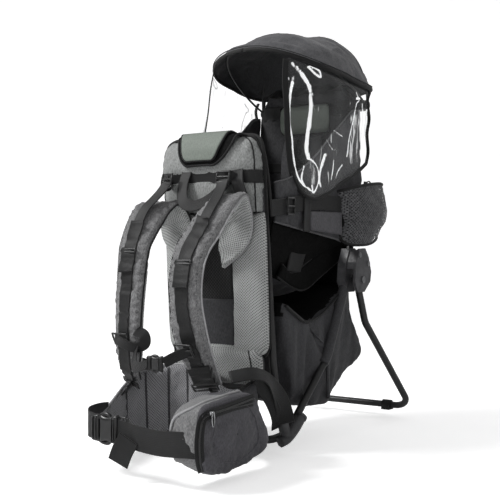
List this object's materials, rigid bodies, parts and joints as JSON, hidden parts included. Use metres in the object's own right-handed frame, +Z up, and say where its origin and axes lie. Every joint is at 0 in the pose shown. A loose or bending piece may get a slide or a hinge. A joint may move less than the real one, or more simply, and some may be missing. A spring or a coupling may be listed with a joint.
{
  "type": "child carrier backpack",
  "caption": "Tube-framed backpack that carries a small child behind the wearer, with padded harness, hip belt, folding kickstand and tilting sun canopy.",
  "frame": {"origin": "on the ground, at the middle of the sole under the front base bar", "axes": "+X to the wearer's left, +Y back from the wearer towards the child seat, +Z up"},
  "size_m": [0.3957, 0.901, 0.9067],
  "materials": {
    "frame_tube": "matte black powder coat",
    "moulded_plastic": "matte black moulded nylon",
    "zip_metal": "satin nickel",
    "steel_pin": "dark zinc",
    "foot_rubber": "matte",
    "board": "matte",
    "charcoal_nylon": "plain woven nylon, slight sheen",
    "canopy_nylon": "plain woven nylon, slight sheen",
    "grey_melange": "melange polyester",
    "spacer_mesh": "light grey spacer mesh",
    "grey_green": "grey-green twill",
    "webbing": "black ribbed webbing",
    "net": "black open net",
    "clear_vinyl": "clear flexible vinyl"
  },
  "bodies": {
    "pack": {"back_frame_tube": "frame_tube", "front_leg_tube": "frame_tube", "rear_seat_tube": "frame_tube", "hinge_inner_left": "moulded_plastic", "hinge_inner_right": "moulded_plastic", "hinge_outer_left": "moulded_plastic", "hinge_outer_right": "moulded_plastic", "kickstand_pins": "steel_pin", "hinge_rivets": "steel_pin", "foot_sockets": "moulded_plastic", "front_rubber_foot": "foot_rubber", "back_board": "board", "back_cover": "charcoal_nylon", "channel_mesh": "net", "mesh_pad_left": "spacer_mesh", "mesh_pad_right": "spacer_mesh", "lumbar_pad": "spacer_mesh", "upper_pocket": "grey_melange", "haul_loop": "webbing", "shoulder_pad_left": "grey_melange", "shoulder_pad_right": "grey_melange", "shoulder_webbings": "webbing", "load_lifters": "webbing", "ladder_locks": "moulded_plastic", "hip_wing_left": "grey_melange", "hip_wing_right": "grey_melange", "hip_webbing_left": "webbing", "hip_buckle_female": "moulded_plastic", "hip_pouch": "charcoal_nylon", "zipper_tape": "webbing", "stabiliser_webbings": "webbing", "child_backrest": "charcoal_nylon", "headrest_pad": "grey_green", "seat_pan": "charcoal_nylon", "cockpit_panel": "charcoal_nylon", "child_harness": "webbing", "side_wall_left": "charcoal_nylon", "side_wall_right": "charcoal_nylon", "mesh_pocket_left": "net", "mesh_pocket_right": "net", "storage_bag": "charcoal_nylon", "canopy_clips": "moulded_plastic"},
    "kickstand": {"kickstand_tube": "frame_tube", "kickstand_rubber_feet": "foot_rubber"},
    "canopy": {"canopy_dome": "canopy_nylon", "canopy_ribs": "steel_pin", "rain_shield_left": "clear_vinyl", "rain_shield_right": "clear_vinyl"},
    "flap": {"pocket_flap": "grey_green"},
    "chest_strap": {"sternum_sliders": "moulded_plastic", "sternum_webbing": "webbing", "sternum_buckle_female": "moulded_plastic"},
    "chest_plug": {"sternum_buckle_male": "moulded_plastic"},
    "belt_plug": {"hip_buckle_male": "moulded_plastic", "hip_webbing_right": "webbing"},
    "zip_slider": {"zipper_slider": "zip_metal"},
    "zip_pull": {"zipper_pull": "zip_metal"},
    "ring_left": {"side_ring_left": "steel_pin"},
    "ring_right": {"side_ring_right": "steel_pin"}
  },
  "joints": [
    {"name": "kickstand_fold", "type": "hinge", "parent": "pack", "child": "kickstand", "pos_m": [0, 0.272, 0.335], "axis": [1, 0, 0], "range_deg": [-74, 0]},
    {"name": "canopy_tilt", "type": "hinge", "parent": "pack", "child": "canopy", "pos_m": [0, 0.353, 0.738], "axis": [1, 0, 0], "range_deg": [-35, 0]},
    {"name": "flap_lift", "type": "hinge", "parent": "pack", "child": "flap", "pos_m": [0, -0.0478, 0.634], "axis": [-1, 0, 0], "range_deg": [0, 120]},
    {"name": "chest_height", "type": "slide", "parent": "pack", "child": "chest_strap", "axis": [0, -0.4552, 0.8904], "range_m": [-0.02, 0.02]},
    {"name": "chest_release", "type": "slide", "parent": "chest_strap", "child": "chest_plug", "axis": [-1, 0, 0], "range_m": [0, 0.022]},
    {"name": "belt_release", "type": "slide", "parent": "pack", "child": "belt_plug", "axis": [-1, 0, 0], "range_m": [0, 0.038]},
    {"name": "zip_travel", "type": "slide", "parent": "pack", "child": "zip_slider", "axis": [0, 1, 0], "range_m": [0, 0.116]},
    {"name": "zip_pull_lift", "type": "hinge", "parent": "zip_slider", "child": "zip_pull", "pos_m": [0.207, -0.32, 0.123], "axis": [0, -1, 0], "range_deg": [0, 80]},
    {"name": "ring_left_swing", "type": "hinge", "parent": "pack", "child": "ring_left", "pos_m": [0.138, 0.162, 0.501], "axis": [0, -1, 0], "range_deg": [0, 70]},
    {"name": "ring_right_swing", "type": "hinge", "parent": "pack", "child": "ring_right", "pos_m": [-0.138, 0.162, 0.501], "axis": [0, 1, 0], "range_deg": [0, 70]}
  ]
}
